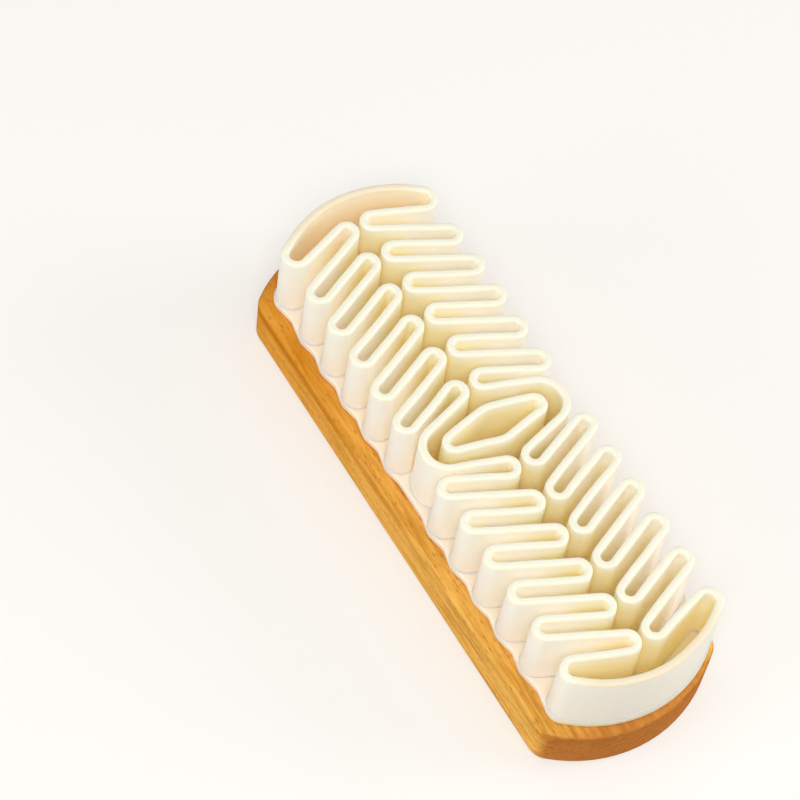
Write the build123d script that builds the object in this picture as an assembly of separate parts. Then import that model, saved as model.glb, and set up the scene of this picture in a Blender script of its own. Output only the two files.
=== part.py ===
from build123d import *
import math
import os

# Suede brush: a block of wood with a pad of folded rubber glued on. It lies on its wooden back, with the
# rubber up. The origin is the middle of the flat underside, +X runs along the brush, +Y across it and +Z
# up through the rubber. Lengths are in millimetres and angles in degrees.

# Wooden back
BACK_LENGTH = 148.4
BACK_WIDTH = 47.8
BACK_THICKNESS = 13.8
END_BULGE = 9.7             # how far the curved ends stand out past the corners
CORNER_ROUND = 5.0          # upright corner edges
UNDERSIDE_ROUND = 2.0
TOP_ROUND = 1.0

# Layers between the wood and the folds
GLUE_THICKNESS = 0.3
GLUE_SETBACK = 0.4          # from the edge of the base sheet
SHEET_THICKNESS = 1.8
SHEET_MARGIN = 0.45         # past the foot of the outer turns and the end walls
SIDE_LEDGE = 3.6            # bare wood on the -Y side of the sheet, where it reaches furthest
FAR_LEDGE = 0.2             # the same on the +Y side: the rubber is glued on off the middle
END_LEDGE = 1.9             # bare wood at the middle of each end
SCALLOP_DEPTH = 0.9         # how far the sheet's edge draws in between two outer turns
SCALLOP_RADIUS = 3.0

# Section of the rubber wall, which narrows from its foot to its rim
WALL_HEIGHT = 18.1
FOOT_THICKNESS = 2.5
RIM_THICKNESS = 1.9
RIM_ROUND = 0.6

# Path of the folded wall, on its middle line
FOLD_PITCH = 10.0           # nominal: the folds share the length evenly
FOLD_SHIFT = 6.6            # how far an outer turn is drawn to the middle from between its two tips
INNER_TURN_RADIUS = 2.25    # the tips, beside the middle of the brush
OUTER_TURN_RADIUS = 2.3     # the turns along the long sides
CORNER_TURN_RADIUS = 2.65
CORNER_RUN = 1.0            # short straight between a corner turn and the end wall
END_WALL_RADIUS = 29.5
SPINE_GAP = 0.4             # between the feet of two opposite tips
MIDDLE_SETBACK = 1.7        # how far the wide turns past the centre ring stay inside the outer turns
MIDDLE_GAP = 0.5            # between the foot of a wide turn and the foot of the outer turn beside it

# Centre ring, on the middle line of its wall
RING_WIDTH = 9.0
RING_END_RADIUS = 2.1
RING_SIDE_RADIUS = 7.0
RING_END_GAP = 3.15         # from the foot of the ring's end to the foot of the wide turn
RING_SIDE_GAP = 2.15        # from the foot of the ring's side to the foot of the nearest tips

# Overrun of cuts
OVERRUN = 1.0

# Heights of the layers
GLUE_BOTTOM = BACK_THICKNESS
SHEET_BOTTOM = GLUE_BOTTOM + GLUE_THICKNESS
WALL_BOTTOM = SHEET_BOTTOM + SHEET_THICKNESS

# Places that the driving dimensions settle. The rubber's paths are drawn about their own middle, which
# lies at RUBBER_Y.
RUBBER_Y = (SIDE_LEDGE - FAR_LEDGE) / 2
SHEET_REACH = (BACK_WIDTH - SIDE_LEDGE - FAR_LEDGE) / 2
OUTER_REACH = SHEET_REACH - SHEET_MARGIN - FOOT_THICKNESS / 2
END_REACH = BACK_LENGTH / 2 - END_LEDGE - SHEET_MARGIN - FOOT_THICKNESS / 2
OUTER_TURN_Y = OUTER_REACH - OUTER_TURN_RADIUS
INNER_TURN_Y = SPINE_GAP / 2 + FOOT_THICKNESS / 2 + INNER_TURN_RADIUS
FIRST_TIP_X = RING_WIDTH / 2 + FOOT_THICKNESS + RING_SIDE_GAP + INNER_TURN_RADIUS
MIDDLE_REACH = OUTER_REACH - MIDDLE_SETBACK
RING_REACH = MIDDLE_REACH - FOOT_THICKNESS - RING_END_GAP
END_WALL_X = END_REACH - END_WALL_RADIUS
CORNER_TURN_Y = OUTER_REACH - CORNER_TURN_RADIUS
CORNER_SPAN = math.hypot(END_WALL_RADIUS - CORNER_TURN_RADIUS, CORNER_RUN)
CORNER_TURN_X = END_WALL_X + math.sqrt(CORNER_SPAN ** 2 - CORNER_TURN_Y ** 2)

# The tips share the length from the first to the corner, and each outer turn belongs to two tips
TIP_STEPS = max(1, round((CORNER_TURN_X - FIRST_TIP_X) / FOLD_PITCH))
TIP_PITCH = (CORNER_TURN_X - FIRST_TIP_X) / TIP_STEPS
TIP_XS = [FIRST_TIP_X + TIP_PITCH * step for step in range(TIP_STEPS + 1)]
OUTER_TURN_XS = [tip_x + TIP_PITCH / 2 - FOLD_SHIFT for tip_x in TIP_XS[:-1]]

# The wide turn past the end of the centre ring is as large as the gap to the first outer turn allows:
# the two centres are apart by both radii, a wall and the gap
NEIGHBOUR_SPAN = OUTER_TURN_RADIUS + FOOT_THICKNESS + MIDDLE_GAP
NEIGHBOUR_RISE = OUTER_TURN_Y - MIDDLE_REACH
MIDDLE_TURN_RADIUS = (OUTER_TURN_XS[0] ** 2 + NEIGHBOUR_RISE ** 2 - NEIGHBOUR_SPAN ** 2) / (
    2 * (NEIGHBOUR_SPAN - NEIGHBOUR_RISE)
)
MIDDLE_TURN_Y = MIDDLE_REACH - MIDDLE_TURN_RADIUS

# A turn is (x, y, radius, sense). Sense LEFT turns to the left along the path and RIGHT to the right.
LEFT = 1
RIGHT = -1


def straight_between(first, second):
    """Ends and heading of the straight run that touches two turns that follow each other."""
    x1, y1, radius1, sense1 = first
    x2, y2, radius2, sense2 = second
    span = math.hypot(x2 - x1, y2 - y1)
    swing = math.asin((sense2 * radius2 - sense1 * radius1) / span)
    heading = math.atan2(y2 - y1, x2 - x1) - swing
    left_x, left_y = -math.sin(heading), math.cos(heading)
    start = (x1 - left_x * sense1 * radius1, y1 - left_y * sense1 * radius1)
    end = (x2 - left_x * sense2 * radius2, y2 - left_y * sense2 * radius2)
    return start, end, math.degrees(heading)


def outline(turns, outward, level):
    """Closed outline at one height: arcs round the turns and straight runs between, moved outward."""
    moved = [(x, RUBBER_Y + y, radius + sense * outward, sense) for x, y, radius, sense in turns]
    runs = [straight_between(moved[index - 1], moved[index]) for index in range(len(moved))]
    edges = []
    for index, (x, y, radius, sense) in enumerate(moved):
        start, end, heading = runs[index]
        next_heading = runs[(index + 1) % len(runs)][2]
        sweep = sense * ((sense * (next_heading - heading)) % 360)
        edges.append(Line((*start, level), (*end, level)))
        edges.append(CenterArc((x, y, level), radius, heading - sense * 90, sweep))
    return Face(Wire(edges))


def mirrored_across_y(turns):
    """The same turns on the -X side, met in the opposite order."""
    return [(-x, y, radius, sense) for x, y, radius, sense in reversed(turns)]


def turned_half_round(turns):
    """The same turns on the -Y side, met in the same order."""
    return [(-x, -y, radius, sense) for x, y, radius, sense in turns]


def folded_path():
    """Turns of the folded wall, to the left all the way round, from the corner at +X and +Y."""
    quarter = [(CORNER_TURN_X, CORNER_TURN_Y, CORNER_TURN_RADIUS, LEFT)]
    for step in range(TIP_STEPS, 0, -1):
        quarter.append((TIP_XS[step], INNER_TURN_Y, INNER_TURN_RADIUS, RIGHT))
        quarter.append((OUTER_TURN_XS[step - 1], OUTER_TURN_Y, OUTER_TURN_RADIUS, LEFT))
    quarter.append((TIP_XS[0], INNER_TURN_Y, INNER_TURN_RADIUS, RIGHT))
    middle = [(0, MIDDLE_TURN_Y, MIDDLE_TURN_RADIUS, LEFT)]
    end_wall = [(-END_WALL_X, 0, END_WALL_RADIUS, LEFT)]
    half = quarter + middle + mirrored_across_y(quarter) + end_wall
    return half + turned_half_round(half)


def ring_path():
    """Turns of the centre ring: two slack bends beside the middle and two tight ends."""
    side = (RING_WIDTH / 2 - RING_SIDE_RADIUS, 0, RING_SIDE_RADIUS, LEFT)
    end = (0, RING_REACH - RING_END_RADIUS, RING_END_RADIUS, LEFT)
    half = [side, end]
    return half + turned_half_round(half)


def sheet_path():
    """Turns of the base sheet's edge: round each outer turn of the folds, drawn in between them."""
    scallop_y = SHEET_REACH - SCALLOP_DEPTH + SCALLOP_RADIUS
    bulge = FOOT_THICKNESS / 2 + SHEET_MARGIN
    bulge_xs = [CORNER_TURN_X] + OUTER_TURN_XS[::-1]
    quarter = [(CORNER_TURN_X, CORNER_TURN_Y, CORNER_TURN_RADIUS + bulge, LEFT)]
    for outer_x, inner_x in zip(bulge_xs, bulge_xs[1:]):
        quarter.append(((outer_x + inner_x) / 2, scallop_y, SCALLOP_RADIUS, RIGHT))
        quarter.append((inner_x, OUTER_TURN_Y, OUTER_TURN_RADIUS + bulge, LEFT))
    quarter.append((bulge_xs[-1] / 2, scallop_y, SCALLOP_RADIUS, RIGHT))
    end = [(-END_WALL_X, 0, END_WALL_RADIUS + bulge, LEFT)]
    half = quarter + mirrored_across_y(quarter) + end
    return half + turned_half_round(half)


def upright_wall(turns):
    """Wall along a path, thick at the foot, thin at the rim, with its two rim edges rounded."""
    rim = WALL_BOTTOM + WALL_HEIGHT
    draft = (FOOT_THICKNESS - RIM_THICKNESS) / 2 / WALL_HEIGHT
    foot_half = FOOT_THICKNESS / 2
    rim_half = RIM_THICKNESS / 2
    over_low = foot_half + draft * OVERRUN
    over_high = rim_half - draft * OVERRUN
    outside = loft([outline(turns, foot_half, WALL_BOTTOM), outline(turns, rim_half, rim)], ruled=True)
    hollow = loft(
        [outline(turns, -over_low, WALL_BOTTOM - OVERRUN), outline(turns, -over_high, rim + OVERRUN)],
        ruled=True,
    )
    wall = outside - hollow
    return fillet(wall.edges().group_by(Axis.Z)[-1], RIM_ROUND)


def wooden_back():
    """Block with straight long sides and barrel-curved ends, all edges softened."""
    half_width = BACK_WIDTH / 2
    end_x = BACK_LENGTH / 2
    corner_x = end_x - END_BULGE
    edges = [
        Line((-corner_x, -half_width), (corner_x, -half_width)),
        ThreePointArc((corner_x, -half_width), (end_x, 0), (corner_x, half_width)),
        Line((corner_x, half_width), (-corner_x, half_width)),
        ThreePointArc((-corner_x, half_width), (-end_x, 0), (-corner_x, -half_width)),
    ]
    block = extrude(Face(Wire(edges)), BACK_THICKNESS)
    block = fillet(block.edges().filter_by(Axis.Z), CORNER_ROUND)
    block = fillet(block.edges().group_by(Axis.Z)[0], UNDERSIDE_ROUND)
    return fillet(block.edges().group_by(Axis.Z)[-1], TOP_ROUND)


def glue_film():
    """Contact cement between the wood and the rubber sheet, set back from the sheet's edge."""
    return extrude(outline(sheet_path(), -GLUE_SETBACK, GLUE_BOTTOM), GLUE_THICKNESS)


def rubber_base_sheet():
    """Thin sheet that carries the folds."""
    return extrude(outline(sheet_path(), 0, SHEET_BOTTOM), SHEET_THICKNESS)


def folded_rubber_wall():
    """One closed wall with hairpin folds from both long sides and curved end walls."""
    return upright_wall(folded_path())


def centre_rubber_ring():
    """Separate closed ring in the pocket that the folds leave at the centre."""
    return upright_wall(ring_path())


os.makedirs("parts", exist_ok=True)
NODES = {
    "wooden_back": wooden_back(),
    "glue_film": glue_film(),
    "rubber_base_sheet": rubber_base_sheet(),
    "folded_rubber_wall": folded_rubber_wall(),
    "centre_rubber_ring": centre_rubber_ring(),
}
for name, shape in NODES.items():
    export_step(shape, f"parts/{name}.step")
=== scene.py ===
"""Suede brush: a beech back that carries a base sheet, one folded wall and a centre ring of cream rubber.

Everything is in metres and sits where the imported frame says. The brush lies on its wooden back, +X runs
along it, +Y across it and +Z up through the rubber.
"""

import math

import bpy
from bpy.props import FloatProperty, FloatVectorProperty, IntProperty, PointerProperty
from mathutils import Matrix, Vector


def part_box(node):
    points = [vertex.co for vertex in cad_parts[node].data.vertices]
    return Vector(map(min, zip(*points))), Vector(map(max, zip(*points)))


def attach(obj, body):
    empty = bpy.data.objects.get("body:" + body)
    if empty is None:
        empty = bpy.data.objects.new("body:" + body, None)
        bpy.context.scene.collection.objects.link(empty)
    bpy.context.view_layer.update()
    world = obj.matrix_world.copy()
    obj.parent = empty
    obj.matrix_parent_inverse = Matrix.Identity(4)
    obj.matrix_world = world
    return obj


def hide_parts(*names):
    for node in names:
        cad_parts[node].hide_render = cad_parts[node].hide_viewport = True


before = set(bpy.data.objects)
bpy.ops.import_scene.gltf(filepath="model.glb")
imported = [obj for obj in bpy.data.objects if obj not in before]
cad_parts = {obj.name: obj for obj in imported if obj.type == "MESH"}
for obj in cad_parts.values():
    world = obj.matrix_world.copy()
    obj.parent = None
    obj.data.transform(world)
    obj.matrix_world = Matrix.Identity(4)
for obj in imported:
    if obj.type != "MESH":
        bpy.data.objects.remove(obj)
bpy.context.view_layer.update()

bl_info = {
    "name": "Suede Brush",
    "version": (1, 0, 0),
    "blender": (4, 5, 0),
    "location": "3D View > Sidebar > Suede Brush",
    "description": "Makes a suede brush: a beech back under folded walls of cream rubber",
    "category": "Add Mesh",
}

MM = 0.001

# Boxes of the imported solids, which the default sizes come from
BACK_LOW, BACK_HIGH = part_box("wooden_back")
GLUE_LOW, GLUE_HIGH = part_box("glue_film")
SHEET_LOW, SHEET_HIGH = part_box("rubber_base_sheet")
WALL_LOW, WALL_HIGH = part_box("folded_rubber_wall")
RING_LOW, RING_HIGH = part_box("centre_rubber_ring")
RUBBER_Y = (SHEET_LOW.y + SHEET_HIGH.y) / 2     # the rubber is glued on a little off the middle


def linear(hex_colour):
    """Linear red, green, blue and alpha of an sRGB hex colour."""
    parts = [int(hex_colour[place:place + 2], 16) / 255 for place in (1, 3, 5)]
    return [c / 12.92 if c <= 0.04045 else ((c + 0.055) / 1.055) ** 2.4 for c in parts] + [1.0]


# Settings that the sidebar shows


class BackSizes(bpy.types.PropertyGroup):
    """Sizes of the wooden back"""
    length: FloatProperty(
        name="Length", description="From the middle of one curved end to the other",
        default=BACK_HIGH.x - BACK_LOW.x, unit="LENGTH")
    width: FloatProperty(
        name="Width", description="Between the straight long sides",
        default=BACK_HIGH.y - BACK_LOW.y, unit="LENGTH")
    thickness: FloatProperty(
        name="Thickness", description="From the flat underside to the face that the rubber is glued on",
        default=BACK_HIGH.z - BACK_LOW.z, unit="LENGTH")
    end_bulge: FloatProperty(
        name="End bulge", description="How far the curved ends stand out past the corners",
        default=9.7 * MM, unit="LENGTH")
    corner_round: FloatProperty(
        name="Corner round", description="Radius of the upright corners",
        default=5.0 * MM, unit="LENGTH")
    underside_round: FloatProperty(
        name="Underside round", description="Radius round the edge of the underside",
        default=2.0 * MM, unit="LENGTH")
    top_round: FloatProperty(
        name="Top round", description="Radius round the edge of the top",
        default=1.0 * MM, unit="LENGTH")


class SheetSizes(bpy.types.PropertyGroup):
    """Sizes of the rubber base sheet and of the glue under it"""
    margin: FloatProperty(
        name="Margin", description="Sheet past the foot of the outer turns and the end walls",
        default=0.45 * MM, unit="LENGTH")
    scallop_depth: FloatProperty(
        name="Scallop depth", description="How far the edge draws in between two outer turns",
        default=0.9 * MM, unit="LENGTH")
    scallop_radius: FloatProperty(
        name="Scallop radius", description="Radius of the edge where it draws in",
        default=3.0 * MM, unit="LENGTH")
    edge_round: FloatProperty(
        name="Edge round", description="Radius along the sheet's upper edge",
        default=0.3 * MM, unit="LENGTH")
    glue_setback: FloatProperty(
        name="Glue setback", description="From the sheet's edge to the edge of the glue",
        default=0.4 * MM, unit="LENGTH")


class WallSizes(bpy.types.PropertyGroup):
    """Sizes of the folded wall and the centre ring"""
    foot_thickness: FloatProperty(
        name="Foot thickness", description="Wall thickness where it leaves the sheet",
        default=2.5 * MM, unit="LENGTH")
    rim_thickness: FloatProperty(
        name="Rim thickness", description="Wall thickness at the top",
        default=1.9 * MM, unit="LENGTH")
    rim_round: FloatProperty(
        name="Rim round", description="Radius along the two edges of the rim",
        default=0.7 * MM, unit="LENGTH")
    foot_flare: FloatProperty(
        name="Foot flare", description="Radius of the hollow corner between the wall and the sheet",
        default=0.3 * MM, unit="LENGTH")
    folds: IntProperty(
        name="Folds", description="Tips in each quarter of the brush, less the one beside the ring",
        default=5, min=1)
    fold_shift: FloatProperty(
        name="Fold shift", description="How far an outer turn is drawn to the middle from between its tips",
        default=6.6 * MM, unit="LENGTH")
    inner_turn: FloatProperty(
        name="Inner turn", description="Radius of the tips on the middle line of the wall",
        default=2.25 * MM, unit="LENGTH")
    outer_turn: FloatProperty(
        name="Outer turn", description="Radius of the turns along the long sides",
        default=2.3 * MM, unit="LENGTH")
    corner_turn: FloatProperty(
        name="Corner turn", description="Radius of the turn into the end wall",
        default=2.65 * MM, unit="LENGTH")
    corner_run: FloatProperty(
        name="Corner run", description="Straight between a corner turn and the end wall",
        default=1.0 * MM, unit="LENGTH")
    end_wall: FloatProperty(
        name="End wall", description="Radius of the curved end walls",
        default=29.5 * MM, unit="LENGTH")
    spine_gap: FloatProperty(
        name="Spine gap", description="Between the feet of two opposite tips",
        default=0.4 * MM, unit="LENGTH")
    middle_setback: FloatProperty(
        name="Middle setback", description="How far the two wide turns stay inside the outer turns",
        default=1.7 * MM, unit="LENGTH")
    middle_gap: FloatProperty(
        name="Middle gap", description="Between the foot of a wide turn and that of the turn beside it",
        default=0.5 * MM, unit="LENGTH")
    ring_side_gap: FloatProperty(
        name="Ring side gap", description="From the foot of the ring to the foot of the nearest tips",
        default=2.15 * MM, unit="LENGTH")
    ring_end_turn: FloatProperty(
        name="Ring end turn", description="Radius of the ring's two tight ends",
        default=2.1 * MM, unit="LENGTH")
    ring_side_turn: FloatProperty(
        name="Ring side turn", description="Radius of the ring's two slack bends",
        default=7.0 * MM, unit="LENGTH")
    sway: FloatProperty(
        name="Sway", description="How far the soft rim wanders off its line",
        default=0.3 * MM, unit="LENGTH")
    sway_length: FloatProperty(
        name="Sway length", description="Distance over which the rim wanders",
        default=22.0 * MM, unit="LENGTH")
    seed: IntProperty(name="Seed", description="Picks the way the rim wanders", default=3)


class BrushColours(bpy.types.PropertyGroup):
    """Colours of the brush"""
    beech_light: FloatVectorProperty(
        name="Beech, early wood", description="Light wood between the rings under its lacquer",
        default=linear("#F8BF60"), size=4, min=0, max=1, subtype="COLOR")
    beech_dark: FloatVectorProperty(
        name="Beech, late wood", description="Dark line at the end of each year's ring",
        default=linear("#BC7F26"), size=4, min=0, max=1, subtype="COLOR")
    beech_ray: FloatVectorProperty(
        name="Beech, rays", description="Short dark flecks where the rays are cut",
        default=linear("#97591C"), size=4, min=0, max=1, subtype="COLOR")
    beech_end: FloatVectorProperty(
        name="Beech, end grain", description="End grain, which drinks the lacquer and goes dark",
        default=linear("#C97F3B"), size=4, min=0, max=1, subtype="COLOR")
    beech_under_arris: FloatVectorProperty(
        name="Beech, line under the arris", description="Darker orange line just below the arris",
        default=linear("#C8760C"), size=4, min=0, max=1, subtype="COLOR")
    # Painted reflection: the near half stays paler than the far end, as painted sheen
    beech_far_tone: FloatVectorProperty(
        name="Beech, far end", description="Deeper orange towards the far end, which leaves the near half paler as painted sheen",
        default=linear("#DE8A04"), size=4, min=0, max=1, subtype="COLOR")
    # Painted light on the rims
    rubber_rim_light: FloatVectorProperty(
        name="Rubber, rims", description="Painted light: pale tone of the lit rims",
        default=linear("#FBF5E1"), size=4, min=0, max=1, subtype="COLOR")
    rubber_face: FloatVectorProperty(
        name="Rubber, outer faces", description="Pale outer faces of the walls and the sheet",
        default=linear("#FCF3E6"), size=4, min=0, max=1, subtype="COLOR")
    # Painted light on the end-wall rims
    rubber_end_rim_light: FloatVectorProperty(
        name="Rubber, end rims", description="Painted light on the rims of the two curved end walls, creamier",
        default=linear("#F6E6CC"), size=4, min=0, max=1, subtype="COLOR")
    # Painted shade at the foot of the rubber
    rubber_shaded_foot: FloatVectorProperty(
        name="Rubber, painted shade at the foot", description="Painted shade, pink from light off the wood, on the sheet outside the walls and the foot of the outer faces",
        default=linear("#F9E9D6"), size=4, min=0, max=1, subtype="COLOR")
    # Painted light deep in the folds
    rubber_fold_light: FloatVectorProperty(
        name="Rubber, between the folds", description="Painted light: paler walls deep in the folds",
        default=linear("#FFFCF2"), size=4, min=0, max=1, subtype="COLOR")
    # Painted golden bounce light along the spine
    rubber_spine_bounce: FloatVectorProperty(
        name="Rubber, along the spine", description="Painted golden bounce light deep in the tips and round the ring",
        default=linear("#FBF3D0"), size=4, min=0, max=1, subtype="COLOR")
    # Painted peach bounce light at the far end
    rubber_far_end_bounce: FloatVectorProperty(
        name="Rubber, far end", description="Painted peach bounce light inside the curved wall at the far end",
        default=linear("#FDF3DC"), size=4, min=0, max=1, subtype="COLOR")
    cement: FloatVectorProperty(
        name="Contact cement", description="Dried film between wood and rubber",
        default=linear("#C9A465"), size=4, min=0, max=1, subtype="COLOR")
    paper: FloatVectorProperty(
        name="Paper", description="Floor paper as it lights the brush",
        default=linear("#C6C4C0"), size=4, min=0, max=1, subtype="COLOR")
    paper_seen: FloatVectorProperty(
        name="Paper, seen", description="White that open paper and the space behind it show",
        default=linear("#FBFAF5"), size=4, min=0, max=1, subtype="COLOR")


class StageSizes(bpy.types.PropertyGroup):
    """Camera, lights and floor"""
    azimuth: FloatProperty(
        name="Camera azimuth", description="Turn round the brush from the -Y side",
        default=math.radians(50.928), subtype="ANGLE")
    elevation: FloatProperty(
        name="Camera elevation", description="Height above the horizon",
        default=math.radians(58.548), subtype="ANGLE")
    roll: FloatProperty(
        name="Camera roll", description="Turn about the line of sight",
        default=math.radians(9.527), subtype="ANGLE")
    distance: FloatProperty(
        name="Camera distance", description="From the camera to the point it is aimed at",
        default=662.34 * MM, unit="LENGTH")
    aim: FloatVectorProperty(
        name="Camera aim", description="Point in the middle of the picture",
        default=(-23.357 * MM, -8.313 * MM, 17.0 * MM), size=3, subtype="TRANSLATION")
    lens: FloatProperty(
        name="Focal length", description="Of a 36 mm wide sensor",
        default=126.0, unit="CAMERA")
    floor_size: FloatProperty(
        name="Floor size", description="Side of the square of paper",
        default=6.0, unit="LENGTH")


# Outlines

LEFT = 1
RIGHT = -1
ARC_STEP = math.radians(5.0)


def arc(centre_x, centre_y, radius, first, sweep):
    """Points round an arc, both ends included, as many for every radius of the same sweep."""
    steps = max(2, math.ceil(abs(sweep) / ARC_STEP))
    angles = [first + sweep * step / steps for step in range(steps + 1)]
    return [(centre_x + radius * math.cos(a), centre_y + radius * math.sin(a)) for a in angles]


def heading_between(first, second):
    """Heading of the straight run that touches two turns that follow each other."""
    x1, y1, radius1, sense1 = first
    x2, y2, radius2, sense2 = second
    span = math.hypot(x2 - x1, y2 - y1)
    return math.atan2(y2 - y1, x2 - x1) - math.asin((sense2 * radius2 - sense1 * radius1) / span)


def outline(turns, outward=0.0):
    """Closed line round a list of turns (x, y, radius, sense), moved outward."""
    moved = [(x, RUBBER_Y + y, radius + sense * outward, sense) for x, y, radius, sense in turns]
    headings = [heading_between(moved[index - 1], moved[index]) for index in range(len(moved))]
    points = []
    for index, (x, y, radius, sense) in enumerate(moved):
        after = headings[(index + 1) % len(moved)]
        sweep = sense * ((sense * (after - headings[index])) % math.tau)
        points += arc(x, y, radius, headings[index] - sense * math.pi / 2, sweep)
    return points


def mirrored_across_y(turns):
    """The same turns on the -X side, met in the opposite order."""
    return [(-x, y, radius, sense) for x, y, radius, sense in reversed(turns)]


def turned_half_round(turns):
    """The same turns on the -Y side, met in the same order."""
    return [(-x, -y, radius, sense) for x, y, radius, sense in turns]


class FoldPlan:
    """Places of the turns about the rubber's middle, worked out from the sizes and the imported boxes."""

    def __init__(self, wall):
        foot = wall.foot_thickness
        self.wall = wall
        outer_reach = (WALL_HIGH.y - WALL_LOW.y - foot) / 2
        self.outer_y = outer_reach - wall.outer_turn
        self.inner_y = wall.spine_gap / 2 + foot / 2 + wall.inner_turn
        self.end_x = WALL_HIGH.x - foot / 2 - wall.end_wall
        self.corner_y = outer_reach - wall.corner_turn
        corner_span = math.hypot(wall.end_wall - wall.corner_turn, wall.corner_run)
        self.corner_x = self.end_x + math.sqrt(corner_span ** 2 - self.corner_y ** 2)
        first_tip = RING_HIGH.x + foot / 2 + wall.ring_side_gap + wall.inner_turn
        pitch = (self.corner_x - first_tip) / wall.folds
        self.tips = [first_tip + pitch * step for step in range(wall.folds + 1)]
        self.outers = [tip + pitch / 2 - wall.fold_shift for tip in self.tips[:-1]]
        middle_reach = outer_reach - wall.middle_setback
        span = wall.outer_turn + foot + wall.middle_gap
        rise = self.outer_y - middle_reach
        self.middle_turn = (self.outers[0] ** 2 + rise ** 2 - span ** 2) / (2 * (span - rise))
        self.middle_y = middle_reach - self.middle_turn

    def folded_path(self):
        """Turns of the folded wall, to the left all the way round, from the corner at +X and +Y."""
        wall = self.wall
        quarter = [(self.corner_x, self.corner_y, wall.corner_turn, LEFT)]
        for step in range(wall.folds, 0, -1):
            quarter.append((self.tips[step], self.inner_y, wall.inner_turn, RIGHT))
            quarter.append((self.outers[step - 1], self.outer_y, wall.outer_turn, LEFT))
        quarter.append((self.tips[0], self.inner_y, wall.inner_turn, RIGHT))
        middle = [(0, self.middle_y, self.middle_turn, LEFT)]
        end_wall = [(-self.end_x, 0, wall.end_wall, LEFT)]
        half = quarter + middle + mirrored_across_y(quarter) + end_wall
        return half + turned_half_round(half)

    def ring_path(self):
        """Turns of the centre ring: two slack bends beside the middle and two tight ends."""
        wall = self.wall
        half_width = RING_HIGH.x - wall.foot_thickness / 2
        reach = (RING_HIGH.y - RING_LOW.y - wall.foot_thickness) / 2
        side = (half_width - wall.ring_side_turn, 0, wall.ring_side_turn, LEFT)
        end = (0, reach - wall.ring_end_turn, wall.ring_end_turn, LEFT)
        return [side, end] + turned_half_round([side, end])

    def sheet_path(self, sheet):
        """Turns of the base sheet's edge: round each outer turn of the folds, drawn in between them."""
        wall = self.wall
        valley_y = (SHEET_HIGH.y - SHEET_LOW.y) / 2 - sheet.scallop_depth + sheet.scallop_radius
        bulge = wall.foot_thickness / 2 + sheet.margin
        bulge_xs = [self.corner_x] + self.outers[::-1]
        quarter = [(self.corner_x, self.corner_y, wall.corner_turn + bulge, LEFT)]
        for outer_x, inner_x in zip(bulge_xs, bulge_xs[1:]):
            quarter.append(((outer_x + inner_x) / 2, valley_y, sheet.scallop_radius, RIGHT))
            quarter.append((inner_x, self.outer_y, wall.outer_turn + bulge, LEFT))
        quarter.append((bulge_xs[-1] / 2, valley_y, sheet.scallop_radius, RIGHT))
        end = [(-self.end_x, 0, wall.end_wall + bulge, LEFT)]
        half = quarter + mirrored_across_y(quarter) + end
        return half + turned_half_round(half)


def back_outline(back, outward):
    """Plan of the wooden back: straight sides, rounded corners and barrel-curved ends, moved outward."""
    half_width = back.width / 2
    end_radius = (half_width ** 2 + back.end_bulge ** 2) / (2 * back.end_bulge)
    end_x = back.length / 2 - end_radius
    round_y = half_width - back.corner_round
    round_x = end_x + math.sqrt((end_radius - back.corner_round) ** 2 - round_y ** 2)
    lean = math.atan2(round_y, round_x - end_x)
    quarter_turn = math.pi / 2
    half = arc(end_x, 0, end_radius + outward, -lean, 2 * lean)
    half += arc(round_x, round_y, back.corner_round + outward, lean, quarter_turn - lean)[1:]
    half += arc(-round_x, round_y, back.corner_round + outward, quarter_turn, quarter_turn - lean)
    return half[:-1] + [(-x, -y) for x, y in half[:-1]]


# Meshes

ROUND_STEPS = 6
HOLD = 0.08 * MM    # a ring this near to a rounded edge keeps the flat beside it looking flat
SHEET_LOW_ROUND = 0.1 * MM


def stacked_mesh(name, rings):
    """Closed mesh through rings (points, height) of equal length, with a flat cap at each end."""
    count = len(rings[0][0])
    points = [(x, y, height) for ring, height in rings for x, y in ring]
    faces = [tuple(reversed(range(count)))]
    for level in range(len(rings) - 1):
        low, high = level * count, (level + 1) * count
        for index in range(count):
            after = (index + 1) % count
            faces.append((low + index, low + after, high + after, high + index))
    faces.append(tuple(range((len(rings) - 1) * count, len(rings) * count)))
    mesh = bpy.data.meshes.new(name)
    mesh.from_pydata(points, [], faces)
    mesh.validate()
    mesh.shade_smooth()
    return mesh


def rounded_levels(low, high, low_round, high_round):
    """Pairs (outward, height) up a side from low to high, with quarter rounds at both edges."""
    levels = [(-low_round - HOLD, low)]
    for step in range(ROUND_STEPS + 1):
        angle = math.pi / 2 * step / ROUND_STEPS
        levels.append((low_round * (math.sin(angle) - 1), low + low_round * (1 - math.cos(angle))))
    levels += [(0.0, low + low_round + HOLD), (0.0, high - high_round - HOLD)]
    for step in range(ROUND_STEPS + 1):
        angle = math.pi / 2 * step / ROUND_STEPS
        levels.append((high_round * (math.cos(angle) - 1), high - high_round * (1 - math.sin(angle))))
    levels.append((-high_round - HOLD, high))
    return levels


def add_piece(name, mesh, material=None):
    """Object at the origin, with its place in its mesh."""
    if material:
        mesh.materials.append(material)
    piece = bpy.data.objects.new(name, mesh)
    bpy.context.scene.collection.objects.link(piece)
    return piece


def place_in_frame(piece, node):
    """The piece moves with the brush's one body and stands for a solid of the frame."""
    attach(piece, "root")
    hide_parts(node)


# Node trees


def add(tree, kind, inputs=None, **settings):
    """Adds a node with its settings, and gives each input a value, a socket, or a node's first output."""
    node = tree.nodes.new(kind)
    for name, value in settings.items():
        setattr(node, name, value)
    for name, value in (inputs or {}).items():
        if isinstance(value, bpy.types.Node):
            value = value.outputs[0]
        if isinstance(value, bpy.types.NodeSocket):
            tree.links.new(value, node.inputs[name])
        else:
            node.inputs[name].default_value = value
    return node


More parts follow.
